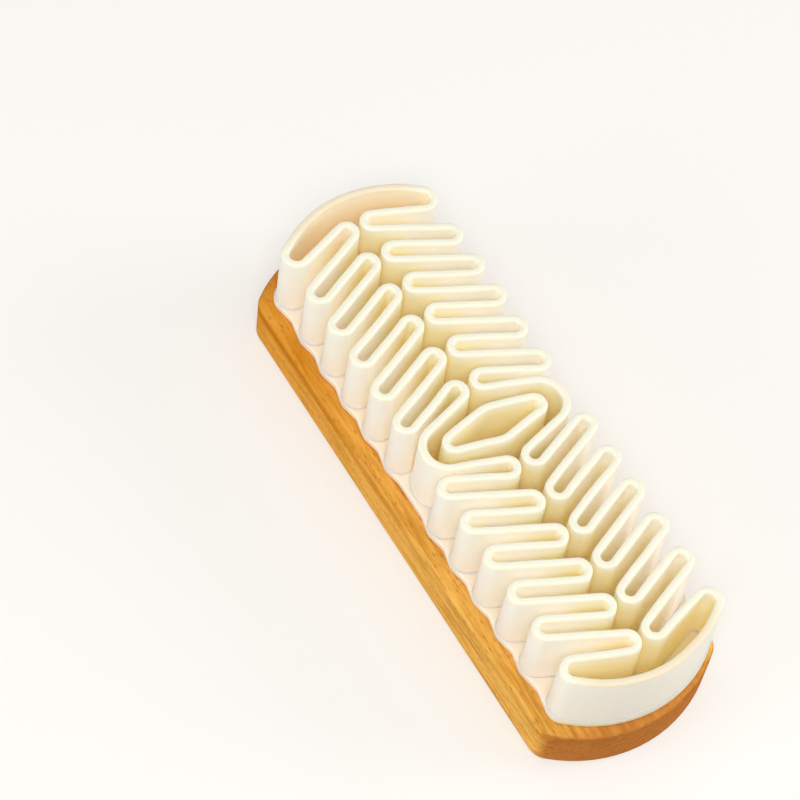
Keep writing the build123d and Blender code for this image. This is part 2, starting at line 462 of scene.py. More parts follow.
WALL_INPUTS = (
    # name, socket type, subtype
    ("Height", "NodeSocketFloat", "DISTANCE"),
    ("Foot Level", "NodeSocketFloat", "DISTANCE"),
    ("Foot Thickness", "NodeSocketFloat", "DISTANCE"),
    ("Rim Thickness", "NodeSocketFloat", "DISTANCE"),
    ("Rim Round", "NodeSocketFloat", "DISTANCE"),
    ("Foot Flare", "NodeSocketFloat", "DISTANCE"),
    ("Sway", "NodeSocketFloat", "DISTANCE"),
    ("Sway Length", "NodeSocketFloat", "DISTANCE"),
    ("Spacing", "NodeSocketFloat", "DISTANCE"),
    ("Seed", "NodeSocketInt", None),
    ("Outside Inner", "NodeSocketFloat", "FACTOR"),
    ("Rubber", "NodeSocketMaterial", None),
)
SIDE_RINGS = 12         # rings up each side of the wall
RIM_STEPS = 5           # facets round each edge of the rim
FOOT_SUNK = 0.3 * MM    # the foot stands this deep in the sheet, so that no faces coincide
RING_CROWDING = 3.5     # power that crowds the rings near the foot, where the flare is
INNER_SIGN = -1.0       # sign of the section's X on the left of the path, which is the inside
WALL_STEP = 0.5 * MM    # step along the path of a wall
NOISE_MIDDLE = (0.5, 0.5, 0.5)
SWAY_GAIN = 4.0         # noise strays a quarter from its middle, and this makes that one
FEWEST_FACES = 100      # a wall with fewer came out empty


def wall_tree():
    """Geometry nodes that raise a tapered rubber wall with a rounded rim along a closed path."""
    tree = bpy.data.node_groups.new("Rubber wall along a path", "GeometryNodeTree")
    tree.is_modifier = True
    tree.interface.new_socket("Geometry", in_out="INPUT", socket_type="NodeSocketGeometry")
    for name, kind, subtype in WALL_INPUTS:
        socket = tree.interface.new_socket(name, in_out="INPUT", socket_type=kind)
        if subtype:
            socket.subtype = subtype
    tree.interface.new_socket("Geometry", in_out="OUTPUT", socket_type="NodeSocketGeometry")
    given = add(tree, "NodeGroupInput").outputs

    # The path, cut into even steps
    steps = add(tree, "GeometryNodeResampleCurve", {"Curve": given["Geometry"], "Length": given["Spacing"]},
                mode="LENGTH")
    path = add(tree, "GeometryNodeSetCurveNormal", {"Curve": steps}, mode="Z_UP")

    # The section: an upright strip whose two sides are cut into rings
    strip = add(tree, "GeometryNodeCurvePrimitiveQuadrilateral",
                {"Width": given["Foot Thickness"], "Height": given["Height"]}, mode="RECTANGLE")
    index = add(tree, "GeometryNodeInputIndex")
    on_side = add(tree, "ShaderNodeMath", {0: index, 1: 2.0}, operation="MODULO")
    cuts = add(tree, "ShaderNodeMath", {0: on_side, 1: float(SIDE_RINGS)}, operation="MULTIPLY")
    ringed = add(tree, "GeometryNodeSubdivideCurve", {"Curve": strip, "Cuts": cuts})

    # Height of each ring above the foot
    place = add(tree, "ShaderNodeSeparateXYZ", {0: add(tree, "GeometryNodeInputPosition")})
    share = add(tree, "ShaderNodeMath", {0: place.outputs["Y"], 1: given["Height"]}, operation="DIVIDE")
    share = add(tree, "ShaderNodeMath", {0: share, 1: 0.5}, operation="ADD", use_clamp=True)
    crowded = add(tree, "ShaderNodeMath", {0: share, 1: RING_CROWDING}, operation="POWER")
    height = add(tree, "ShaderNodeMath", {0: crowded, 1: given["Height"]}, operation="MULTIPLY")

    # Half the thickness there: a straight taper, and a quarter-round flare at the foot
    taper = add(tree, "ShaderNodeMapRange",
                {"Value": crowded, "To Min": given["Foot Thickness"], "To Max": given["Rim Thickness"]})
    half = add(tree, "ShaderNodeMath", {0: taper, 1: 0.5}, operation="MULTIPLY")
    bare = add(tree, "ShaderNodeMath", {0: height, 1: FOOT_SUNK}, operation="SUBTRACT")
    below = add(tree, "ShaderNodeMath", {0: given["Foot Flare"], 1: bare}, operation="SUBTRACT")
    below = add(tree, "ShaderNodeMath", {0: below, 1: 0.0}, operation="MAXIMUM")
    below_squared = add(tree, "ShaderNodeMath", {0: below, 1: 2.0}, operation="POWER")
    flare_squared = add(tree, "ShaderNodeMath", {0: given["Foot Flare"], 1: 2.0}, operation="POWER")
    across = add(tree, "ShaderNodeMath", {0: flare_squared, 1: below_squared}, operation="SUBTRACT")
    across = add(tree, "ShaderNodeMath", {0: across, 1: 0.0}, operation="MAXIMUM")
    across = add(tree, "ShaderNodeMath", {0: across}, operation="SQRT")
    flare = add(tree, "ShaderNodeMath", {0: given["Foot Flare"], 1: across}, operation="SUBTRACT")
    reach = add(tree, "ShaderNodeMath", {0: half, 1: flare}, operation="ADD")
    side = add(tree, "ShaderNodeMath", {0: place.outputs["X"]}, operation="SIGN")
    out = add(tree, "ShaderNodeMath", {0: side, 1: reach}, operation="MULTIPLY")
    # A section's +Y points down along a path that lies level
    down = add(tree, "ShaderNodeMath", {0: height, 1: -1.0}, operation="MULTIPLY")
    shaped = add(tree, "GeometryNodeSetPosition",
                 {"Geometry": ringed, "Position": add(tree, "ShaderNodeCombineXYZ", {"X": out, "Y": down})})

    # Each point keeps which side it is on: one on the side that faces the inside of the closed path
    facing = add(tree, "ShaderNodeMapRange",
                 {"Value": side, "From Min": INNER_SIGN, "From Max": -INNER_SIGN, "To Min": 1.0,
                  "To Max": given["Outside Inner"]})
    sided = add(tree, "GeometryNodeStoreNamedAttribute",
                {"Geometry": shaped, "Name": "inner", "Value": facing}, data_type="FLOAT", domain="POINT")

    # The section's first two corners, which are the top ones, are rounded
    top = add(tree, "FunctionNodeCompare", {2: index, 3: 2}, data_type="INT", operation="LESS_THAN")
    radius = add(tree, "GeometryNodeSwitch", {"Switch": top, "True": given["Rim Round"]}, input_type="FLOAT")
    section = add(tree, "GeometryNodeFilletCurve", {"Curve": sided, "Count": RIM_STEPS, "Radius": radius},
                  mode="POLY")
    wall = add(tree, "GeometryNodeCurveToMesh", {"Curve": path, "Profile Curve": section})

    # The soft rim wanders a little, the foot not at all
    spot = add(tree, "GeometryNodeInputPosition")
    lifted = add(tree, "ShaderNodeSeparateXYZ", {0: spot}).outputs["Z"]
    level = add(tree, "ShaderNodeVectorMath", {0: spot, 1: (1, 1, 0)}, operation="MULTIPLY")
    fineness = add(tree, "ShaderNodeMath", {0: 1.0, 1: given["Sway Length"]}, operation="DIVIDE")
    drift = add(tree, "ShaderNodeTexNoise",
                {"Vector": level, "W": given["Seed"], "Scale": fineness, "Detail": 1.0},
                noise_dimensions="4D")
    drift = add(tree, "ShaderNodeVectorMath", {0: drift.outputs["Color"], 1: NOISE_MIDDLE},
                operation="SUBTRACT")
    drift = add(tree, "ShaderNodeVectorMath", {0: drift, 1: (SWAY_GAIN, SWAY_GAIN, 0)}, operation="MULTIPLY")
    loose = add(tree, "ShaderNodeMath", {0: lifted, 1: given["Height"]}, operation="DIVIDE", use_clamp=True)
    amount = add(tree, "ShaderNodeMath", {0: loose, 1: given["Sway"]}, operation="MULTIPLY")
    offset = add(tree, "ShaderNodeVectorMath", {0: drift, "Scale": amount}, operation="SCALE")
    swayed = add(tree, "GeometryNodeSetPosition", {"Geometry": wall, "Offset": offset})

    outward = add(tree, "GeometryNodeFlipFaces", {"Mesh": swayed})
    smooth = add(tree, "GeometryNodeSetShadeSmooth", {"Geometry": outward})
    up = add(tree, "ShaderNodeCombineXYZ", {"Z": given["Foot Level"]})
    lift = add(tree, "GeometryNodeTransform", {"Geometry": smooth, "Translation": up})
    real = add(tree, "GeometryNodeRealizeInstances", {"Geometry": lift})
    dressed = add(tree, "GeometryNodeSetMaterial", {"Geometry": real, "Material": given["Rubber"]})
    add(tree, "NodeGroupOutput", {"Geometry": dressed})
    return tree


def raised_wall(name, tree, turns, sizes):
    """Plain mesh piece of a wall along a closed list of turns."""
    points = outline(turns)
    curve = bpy.data.curves.new(name + "_path", "CURVE")
    curve.dimensions = "3D"
    spline = curve.splines.new("POLY")
    spline.points.add(len(points) - 1)
    for point, (x, y) in zip(spline.points, points):
        point.co = (x, y, 0.0, 1.0)
    spline.use_cyclic_u = True
    path = add_piece(name + "_path", curve)
    modifier = path.modifiers.new("Wall", "NODES")
    modifier.node_group = tree
    for socket in tree.interface.items_tree:
        if socket.in_out == "INPUT" and socket.name in sizes:
            modifier[socket.identifier] = sizes[socket.name]
    graph = bpy.context.evaluated_depsgraph_get()
    mesh = bpy.data.meshes.new_from_object(path.evaluated_get(graph), depsgraph=graph)
    mesh.name = name
    bpy.data.objects.remove(path)
    bpy.data.curves.remove(curve)
    return add_piece(name, mesh)


# Materials


def new_material(name):
    """Material with an empty node tree, and that tree."""
    material = bpy.data.materials.new(name)
    material.use_nodes = True
    material.node_tree.nodes.clear()
    return material, material.node_tree


FACTOR, FIRST, SECOND, MIXED = 0, 6, 7, 2       # sockets of a Mix node that mixes colours
FINE_RELIEF = 0.1 * MM                          # height of the finest unevenness of a skin

# The tree that the beech came from. Cells are counted in each metre along, across and up
GRAIN_LEAN = math.radians(1.6)                  # the grain runs this much off the brush's length
PITH_DIP = math.radians(0.9)                    # and rises this much
PITH_PLACE = (0.0, -9 * MM, 31 * MM)            # moves the middle of the tree to below the brush
YEAR_WIDTH = 2.6 * MM
YEAR_WANDER = 2.6                               # years by which the rings wander
WANDER_CELLS = (9.0, 60.0, 60.0)
YEAR_RAMP = ((0.62, 0.22), (0.88, 1.0), (0.97, 0.75), (1.0, 0.0))      # place in a year, darkness
FIBRE_CELLS = (80.0, 850.0, 850.0)              # streaks 12 mm long and 1.2 mm wide. Real fibres are too
                                                # fine to show, so each streak stands for a bundle of them
BAND_CELLS = (40.0, 220.0, 220.0)               # bands 25 mm long and 4.5 mm wide
RAY_CELLS = (420.0, 1400.0, 1400.0)             # a ray fleck fits in 2.4 mm by 0.7 mm, a little coarser
                                                # than a real one, so that it shows

# Readings of each pattern between which it goes from nothing to full
STREAK_SPAN = (0.36, 0.64)
BAND_SPAN = (0.35, 0.68)
FLECK_SPAN = (0.36, 0.16)                       # distance from the middle of its cell
FLECKED_SPAN = (0.3, 0.6)                       # colour of its cell, so that some cells stay bare

# What darkens the beech, and by how much
# Painted shade darkens the wood towards the top: the ledge beside the rubber and the upper sides
PAINTED_SHADE_SHARE, RING_SHARE, STREAK_SHARE, BAND_SHARE = 0.3, 0.25, 0.68, 0.44
PAINTED_HIGHLIGHT_SHARE = -0.05                              # painted highlight: the arrises are a touch lighter
LIGHT_SHARE = 0.5                               # taken off the sum, so that much stays light wood
RAY_SHARE = 0.5
END_GRAIN_SHARE = 0.55                          # end grain shows less of all this

# Where the beech changes
PAINTED_SHADE_FROM = 3 * MM                             # height above which the sides get painted shade, darker towards the top
UNDER_ARRIS_LINE = 2.0 * MM                         # the darker line under the arris is this far below the top
UNDER_ARRIS_FADE = (0.4 * MM, 2.2 * MM)             # and fades between these distances from its middle
UNDER_ARRIS_LEAST = 0.05                            # away from the line, this much of its tone is left
FAR_FADE = (20 * MM, -55 * MM)                  # the deeper tone of the far end sets in and is full; the paler near end is painted sheen
FAR_LEAST = 0.1                                 # the near end has this much of it
FAR_SHARE = 0.5
END_SHADE_FADE = (65 * MM, 70 * MM)                 # painted shade on the top beside the curved ends, from the middle
END_SHADE_SHARE = 0.8


def lacquered_beech(colours):
    """Planed beech under satin lacquer: honey colour, streaks and year rings as long lines, short dark ray
    flecks, redder end grain and a faint shine, with painted shade towards the top and beside the curved
    ends, a painted highlight on the arrises and a near half left paler as painted sheen."""
    material, tree = new_material("Lacquered beech")
    place = add(tree, "ShaderNodeTexCoord").outputs["Object"]

    # The pith runs along the brush below it, a little askew, so the ring lines run out over the edges
    pith = add(tree, "ShaderNodeMapping", {
        "Vector": place, "Location": PITH_PLACE, "Rotation": (0.0, PITH_DIP, GRAIN_LEAN)})
    wander = add(tree, "ShaderNodeMapping", {"Vector": place, "Scale": WANDER_CELLS})
    wander = add(tree, "ShaderNodeTexNoise", {"Vector": wander, "Scale": 1.0, "Detail": 2.0})
    flat = add(tree, "ShaderNodeVectorMath", {0: pith, 1: (0, 1, 1)}, operation="MULTIPLY")
    depth = add(tree, "ShaderNodeVectorMath", {0: flat}, operation="LENGTH").outputs["Value"]
    years = add(tree, "ShaderNodeMath", {0: depth, 1: 1 / YEAR_WIDTH}, operation="MULTIPLY")
    shift = add(tree, "ShaderNodeMath", {0: wander, 1: YEAR_WANDER}, operation="MULTIPLY")
    years = add(tree, "ShaderNodeMath", {0: years, 1: shift}, operation="ADD")
    year = add(tree, "ShaderNodeMath", {0: years}, operation="FRACT")
    ring = add(tree, "ShaderNodeValToRGB", {"Fac": year})
    stops = ring.color_ramp.elements
    stops.remove(stops[1])
    for position, level in YEAR_RAMP:
        stops.new(position).color = (level, level, level, 1.0)

    # Fibres: thin streaks of lighter and darker wood in soft bands
    grain = (0.0, 0.0, GRAIN_LEAN)
    along = add(tree, "ShaderNodeMapping", {"Vector": place, "Rotation": grain, "Scale": FIBRE_CELLS})
    fibre = add(tree, "ShaderNodeTexNoise", {"Vector": along, "Scale": 1.0, "Detail": 3.0, "Roughness": 0.6})
    broad = add(tree, "ShaderNodeMapping", {"Vector": place, "Rotation": grain, "Scale": BAND_CELLS})
    broad = add(tree, "ShaderNodeTexNoise", {"Vector": broad, "Scale": 1.0, "Detail": 3.0})
    height = add(tree, "ShaderNodeSeparateXYZ", {0: place}).outputs["Z"]
    # Painted shade: darker towards the top, so the lower sides look lit by the floor
    upper = add(tree, "ShaderNodeMapRange", {
        "Value": height, "From Min": BACK_LOW.z + PAINTED_SHADE_FROM, "From Max": BACK_HIGH.z, "To Min": 0.0,
        "To Max": PAINTED_SHADE_SHARE})

    # A darker orange line runs just under the arris, most of all towards the far end, where the
    # wood is a deeper orange too, so the paler near half stands for painted sheen
    below = add(tree, "ShaderNodeMath", {0: BACK_HIGH.z - UNDER_ARRIS_LINE, 1: height}, operation="SUBTRACT")
    below = add(tree, "ShaderNodeMath", {0: below}, operation="ABSOLUTE")
    under_arris = add(tree, "ShaderNodeMapRange", {
        "Value": below, "From Min": UNDER_ARRIS_FADE[0], "From Max": UNDER_ARRIS_FADE[1], "To Min": 1.0,
        "To Max": UNDER_ARRIS_LEAST})
    far = add(tree, "ShaderNodeSeparateXYZ", {0: place}).outputs["X"]
    far_end = add(tree, "ShaderNodeMapRange", {
        "Value": far, "From Min": FAR_FADE[0], "From Max": FAR_FADE[1], "To Min": FAR_LEAST})
    under_arris = add(tree, "ShaderNodeMath", {0: under_arris, 1: far_end}, operation="MULTIPLY")
    # Painted sheen: the near half keeps less of the far tone and looks paler
    far_tone_share = add(tree, "ShaderNodeMath", {0: far_end, 1: FAR_SHARE}, operation="MULTIPLY")

    # Rays: short flecks, in some of the cells only
    cells = add(tree, "ShaderNodeMapping", {"Vector": place, "Scale": RAY_CELLS})
    cell = add(tree, "ShaderNodeTexVoronoi", {"Vector": cells, "Scale": 1.0}, feature="F1")
    spot = add(tree, "ShaderNodeMapRange", {
        "Value": cell.outputs["Distance"], "From Min": FLECK_SPAN[0], "From Max": FLECK_SPAN[1]})
    chosen = add(tree, "ShaderNodeMapRange", {
        "Value": cell.outputs["Color"], "From Min": FLECKED_SPAN[0], "From Max": FLECKED_SPAN[1]})
    ray = add(tree, "ShaderNodeMath", {0: spot, 1: chosen}, operation="MULTIPLY")

    streak = add(tree, "ShaderNodeMapRange", {
        "Value": fibre, "From Min": STREAK_SPAN[0], "From Max": STREAK_SPAN[1]})
    band = add(tree, "ShaderNodeMapRange", {
        "Value": broad, "From Min": BAND_SPAN[0], "From Max": BAND_SPAN[1]})
    # Painted highlight along the arrises
    arris_highlight = add(tree, "ShaderNodeAttribute", attribute_name="arris_highlight").outputs["Fac"]
    dark = upper
    for shade, share in (
            (ring, RING_SHARE), (streak, STREAK_SHARE), (band, BAND_SHARE), (arris_highlight, PAINTED_HIGHLIGHT_SHARE)):
        dark = add(tree, "ShaderNodeMath", {0: shade, 1: share, 2: dark}, operation="MULTIPLY_ADD")
    dark = add(tree, "ShaderNodeMath", {0: dark, 1: LIGHT_SHARE}, operation="SUBTRACT", use_clamp=True)
    wood = add(tree, "ShaderNodeMix", {
        FACTOR: dark, FIRST: colours.beech_light, SECOND: colours.beech_dark}, data_type="RGBA")
    fleck = add(tree, "ShaderNodeMath", {0: ray, 1: RAY_SHARE}, operation="MULTIPLY")
    for share, colour in (
            (far_tone_share, colours.beech_far_tone), (under_arris, colours.beech_under_arris),
            (fleck, colours.beech_ray)):
        wood = add(tree, "ShaderNodeMix", {
            FACTOR: share, FIRST: wood.outputs[MIXED], SECOND: colour}, data_type="RGBA")

    # End grain is darker and redder. The top beside the curved ends gets the same tone as painted shade
    end = add(tree, "ShaderNodeAttribute", attribute_name="end_grain").outputs["Fac"]
    from_middle = add(tree, "ShaderNodeMath", {0: far}, operation="ABSOLUTE")
    end_shade = add(tree, "ShaderNodeMapRange", {
        "Value": from_middle, "From Min": END_SHADE_FADE[0], "From Max": END_SHADE_FADE[1], "To Min": 0.0,
        "To Max": END_SHADE_SHARE})
    end = add(tree, "ShaderNodeMath", {0: end, 1: end_shade}, operation="MAXIMUM")
    end_dark = add(tree, "ShaderNodeMath", {0: dark, 1: END_GRAIN_SHARE}, operation="MULTIPLY")
    end_wood = add(tree, "ShaderNodeMix", {
        FACTOR: end_dark, FIRST: colours.beech_end, SECOND: colours.beech_ray}, data_type="RGBA")
    wood = add(tree, "ShaderNodeMix", {
        FACTOR: end, FIRST: wood.outputs[MIXED], SECOND: end_wood.outputs[MIXED]}, data_type="RGBA")

    relief = add(tree, "ShaderNodeBump", {"Height": fibre, "Strength": 0.25, "Distance": FINE_RELIEF})
    dullness = add(tree, "ShaderNodeMapRange", {"Value": fibre, "To Min": 0.34, "To Max": 0.5})
    shader = add(tree, "ShaderNodeBsdfPrincipled", {
        "Base Color": wood.outputs[MIXED], "Roughness": dullness, "Normal": relief,
        "Coat Weight": 0.03, "Coat Roughness": 0.22, "Specular IOR Level": 0.0})
    add(tree, "ShaderNodeOutputMaterial", {"Surface": shader})
    return material


# Where the rubber's painted light and shade change. Each fade gives where it sets in and where it is full
SHEET_FADE = (16 * MM, 12 * MM)         # off the middle, inside of the sheet
POCKET_FADE = (19.5 * MM, 14 * MM)      # off the middle, hollows that open to the long sides
SPINE_FADE = (11 * MM, 4 * MM)          # off the middle, the painted golden bounce light of the spine
WALL_END = (62 * MM, 60 * MM)           # along the brush, short of the outside of the end walls
END_FADE = (58 * MM, 62 * MM)           # along the brush, inside of the end walls
END_RIM_FADE = (63 * MM, 67 * MM)       # along the brush, the creamier painted light on the end rims
DEEP_FADE = (0.3 * MM, 3.5 * MM)        # below the top, the painted light and golden bounce light of the folds
RIM_FADE = (1.6 * MM, 0.2 * MM)         # below the top, the painted light of the rims
FOOT_SHADE_FADE = 10 * MM                      # above the sheet, the painted shade at the foot of the outer faces
FOOT_SHADE_SHARE = 0.8
CLOUD_CELLS = 160.0                     # in each metre, so clouds of tone are 6 mm across
CLOUD_SPAN = (0.3, 0.7)                 # readings between which a cloud goes from nothing to full
UNEVEN = 0.05                           # the golden tone comes and goes by this much
SKIN_CELLS = 900.0                      # dimples 1.1 mm across. Real ones are too fine to show


def cream_rubber(colours):
    """Moulded natural rubber: pale cream and slightly see-through, with a satin skin that is faintly uneven.
    Its colour has painted light: pale rims, paler walls and golden bounce light deep in the folds, and
    painted shade at the foot of the outer faces."""
    material, tree = new_material("Cream natural rubber")
    place = add(tree, "ShaderNodeTexCoord").outputs["Object"]
    parts = add(tree, "ShaderNodeSeparateXYZ", {0: place}).outputs

    # The walls know their inner side, which takes the painted bounce light. On the sheet the inside
    # begins some way in from the long sides
    off_middle = add(tree, "ShaderNodeMath", {0: parts["Y"], 1: RUBBER_Y}, operation="SUBTRACT")
    off_middle = add(tree, "ShaderNodeMath", {0: off_middle}, operation="ABSOLUTE")
    along = add(tree, "ShaderNodeMath", {0: parts["X"]}, operation="ABSOLUTE")
    sheet_side = add(tree, "ShaderNodeMapRange", {
        "Value": off_middle, "From Min": SHEET_FADE[0], "From Max": SHEET_FADE[1]})
    sheet_end = add(tree, "ShaderNodeMapRange", {
        "Value": along, "From Min": END_FADE[0], "From Max": END_FADE[1]})
    on_sheet = add(tree, "ShaderNodeMath", {0: parts["Z"], 1: SHEET_HIGH.z + HOLD}, operation="LESS_THAN")
    ends = add(tree, "ShaderNodeMapRange", {
        "Value": along, "From Min": WALL_END[0], "From Max": WALL_END[1]})
    floor = add(tree, "ShaderNodeMath", {0: sheet_side, 1: sheet_end}, operation="MAXIMUM")
    floor = add(tree, "ShaderNodeMath", {0: floor, 1: on_sheet}, operation="MULTIPLY")
    inner = add(tree, "ShaderNodeAttribute", attribute_name="inner").outputs["Fac"]
    pocket = add(tree, "ShaderNodeMapRange", {
        "Value": off_middle, "From Min": POCKET_FADE[0], "From Max": POCKET_FADE[1]})
    pocket = add(tree, "ShaderNodeMath", {0: pocket, 1: ends}, operation="MULTIPLY")
    inside = add(tree, "ShaderNodeMath", {0: inner, 1: floor}, operation="MAXIMUM")
    inside = add(tree, "ShaderNodeMath", {0: inside, 1: pocket}, operation="MAXIMUM")

    # Painted bounce light in the folds: most golden along the spine, round the ring and at the near end,
    # and peach at the far end
    spine = add(tree, "ShaderNodeMapRange", {
        "Value": off_middle, "From Min": SPINE_FADE[0], "From Max": SPINE_FADE[1]})
    round_ring = add(tree, "ShaderNodeMath", {0: along, 1: RING_HIGH.x + HOLD}, operation="LESS_THAN")
    golden = add(tree, "ShaderNodeMath", {0: spine, 1: round_ring}, operation="MAXIMUM")
    near_end = add(tree, "ShaderNodeMapRange", {
        "Value": parts["X"], "From Min": END_FADE[0], "From Max": END_FADE[1]})
    golden = add(tree, "ShaderNodeMath", {0: golden, 1: near_end}, operation="MAXIMUM")
    far_end = add(tree, "ShaderNodeMapRange", {
        "Value": parts["X"], "From Min": -END_FADE[0], "From Max": -END_FADE[1]})
    deep = add(tree, "ShaderNodeMapRange", {
        "Value": parts["Z"], "From Min": WALL_HIGH.z - DEEP_FADE[0],
        "From Max": WALL_HIGH.z - DEEP_FADE[1]})
    rim = add(tree, "ShaderNodeMapRange", {
        "Value": parts["Z"], "From Min": WALL_HIGH.z - RIM_FADE[0], "From Max": WALL_HIGH.z - RIM_FADE[1]},
        interpolation_type="SMOOTHSTEP")
    foot = add(tree, "ShaderNodeMath", {0: inside, 1: deep}, operation="MULTIPLY")
    cloud = add(tree, "ShaderNodeTexNoise", {"Vector": place, "Scale": CLOUD_CELLS, "Detail": 3.0})
    uneven = add(tree, "ShaderNodeMapRange", {
        "Value": cloud, "From Min": CLOUD_SPAN[0], "From Max": CLOUD_SPAN[1], "To Min": -UNEVEN,
        "To Max": UNEVEN})
    golden = add(tree, "ShaderNodeMath", {0: golden, 1: foot, 2: uneven}, operation="MULTIPLY_ADD",
                 use_clamp=True)
    # Painted light: the walls deep in the folds are paler and brighter
    rubber = add(tree, "ShaderNodeMix", {
        FACTOR: foot, FIRST: colours.rubber_face, SECOND: colours.rubber_fold_light}, data_type="RGBA")
    peach = add(tree, "ShaderNodeMath", {0: far_end, 1: inside}, operation="MULTIPLY")

    # Painted shade, pink from light off the wood, dulls the sheet outside the walls and the foot of their
    # outer faces
    outside = add(tree, "ShaderNodeMath", {0: 1.0, 1: inside}, operation="SUBTRACT", use_clamp=True)
    low = add(tree, "ShaderNodeMapRange", {
        "Value": parts["Z"], "From Min": SHEET_HIGH.z + FOOT_SHADE_FADE, "From Max": SHEET_HIGH.z,
        "To Min": 0.0, "To Max": FOOT_SHADE_SHARE})
    low = add(tree, "ShaderNodeMath", {0: low, 1: ends}, operation="MULTIPLY")
    painted_foot_shade = add(tree, "ShaderNodeMath", {0: on_sheet, 1: low}, operation="MAXIMUM")
    painted_foot_shade = add(tree, "ShaderNodeMath", {0: painted_foot_shade, 1: outside}, operation="MULTIPLY")
    for share, colour in (
            (golden, colours.rubber_spine_bounce), (peach, colours.rubber_far_end_bounce),
            (painted_foot_shade, colours.rubber_shaded_foot)):
        rubber = add(tree, "ShaderNodeMix", {
            FACTOR: share, FIRST: rubber.outputs[MIXED], SECOND: colour}, data_type="RGBA")

    # Painted light makes the rims pale, a little creamier on the end walls
    end_rim = add(tree, "ShaderNodeMapRange", {
        "Value": along, "From Min": END_RIM_FADE[0], "From Max": END_RIM_FADE[1]})
    rims = add(tree, "ShaderNodeMix", {
        FACTOR: end_rim, FIRST: colours.rubber_rim_light, SECOND: colours.rubber_end_rim_light}, data_type="RGBA")
    rubber = add(tree, "ShaderNodeMix", {
        FACTOR: rim, FIRST: rubber.outputs[MIXED], SECOND: rims.outputs[MIXED]}, data_type="RGBA")
    skin = add(tree, "ShaderNodeTexNoise", {"Vector": place, "Scale": SKIN_CELLS, "Detail": 3.0})
    relief = add(tree, "ShaderNodeBump", {"Height": skin, "Strength": 0.12, "Distance": FINE_RELIEF})
    dullness = add(tree, "ShaderNodeMapRange", {"Value": cloud, "To Min": 0.42, "To Max": 0.58})
    shader = add(tree, "ShaderNodeBsdfPrincipled", {
        "Base Color": rubber.outputs[MIXED], "Roughness": dullness, "Normal": relief,
        "Subsurface Weight": 0.6, "Subsurface Radius": (1.0, 0.8, 0.5), "Subsurface Scale": 2.0 * MM,
        "IOR": 1.52, "Specular IOR Level": 0.4})
    add(tree, "ShaderNodeOutputMaterial", {"Surface": shader})
    return material


LUMP_CELLS = 700.0      # in each metre, so lumps of cement are 1.4 mm across
TOOTH_CELLS = 1200.0    # the paper's tooth is 0.8 mm across, since a real one is too fine to show


def contact_cement(colours):
    """Dried contact cement: a thin amber film with a dull skin."""
    material, tree = new_material("Contact cement")
    place = add(tree, "ShaderNodeTexCoord").outputs["Object"]
    lumps = add(tree, "ShaderNodeTexNoise", {"Vector": place, "Scale": LUMP_CELLS, "Detail": 3.0})
    dullness = add(tree, "ShaderNodeMapRange", {"Value": lumps, "To Min": 0.45, "To Max": 0.7})
    relief = add(tree, "ShaderNodeBump", {"Height": lumps, "Strength": 0.3, "Distance": FINE_RELIEF})
    thick = add(tree, "ShaderNodeMix", {
        FACTOR: lumps, FIRST: colours.cement, SECOND: colours.beech_ray}, data_type="RGBA")
    shader = add(tree, "ShaderNodeBsdfPrincipled", {
        "Base Color": thick.outputs[MIXED], "Roughness": dullness, "Normal": relief, "IOR": 1.5})
    add(tree, "ShaderNodeOutputMaterial", {"Surface": shader})
    return material


def seen_directly(tree):
    """One for rays from the camera, mirrors and glass, and zero for the light that reaches the brush."""
    ray = add(tree, "ShaderNodeLightPath").outputs
    seen = ray["Is Camera Ray"]
    for kind in ("Is Glossy Ray", "Is Transmission Ray"):
        seen = add(tree, "ShaderNodeMath", {0: seen, 1: ray[kind]}, operation="MAXIMUM")
    return seen


def pale_paper(colours):
    """Matt studio paper: pale and even, and it keeps the brush's soft shadow."""
    material, tree = new_material("Pale studio paper")
    place = add(tree, "ShaderNodeTexCoord").outputs["Object"]
    tooth = add(tree, "ShaderNodeTexNoise", {"Vector": place, "Scale": TOOTH_CELLS, "Detail": 2.0})
    relief = add(tree, "ShaderNodeBump", {"Height": tooth, "Strength": 0.05, "Distance": FINE_RELIEF})
    lift = add(tree, "ShaderNodeMath", {0: seen_directly(tree), 1: FLOOR_LIFT}, operation="MULTIPLY")
    shader = add(tree, "ShaderNodeBsdfPrincipled", {
        "Base Color": colours.paper, "Roughness": 0.9, "Normal": relief, "Specular IOR Level": 0.1,
        "Emission Color": colours.paper_seen, "Emission Strength": lift})
    add(tree, "ShaderNodeOutputMaterial", {"Surface": shader})
    return material


# Light

FLOOR_LIFT = 0.445      # share of white that the paper adds where it is seen, so open paper looks white
FILL_STRENGTH = 0.46    # light from all round
BOUNCES = 32            # light goes from wall to wall this often, because deep pale folds let it out slowly
# name, where it stands, side of its square, watts
LAMPS = (
    ("Key", (0.48, -0.40, 1.02), 0.4, 5.6),
    ("Side", (-0.15, -1.00, 0.25), 0.6, 3.4),
    ("Far side", (0.45, 0.95, 0.42), 0.6, 5.0),
)


def add_lamp(name, where, side, watts):
    """Soft square lamp aimed at the middle of the brush."""
    light = bpy.data.lights.new(name, "AREA")
    light.shape = "SQUARE"
    light.size = side
    light.energy = watts
    lamp = bpy.data.objects.new(name, light)
    lamp.location = where
    lamp.rotation_mode = "QUATERNION"
    lamp.rotation_quaternion = (-Vector(where)).to_track_quat("-Z", "Y")
    bpy.context.scene.collection.objects.link(lamp)


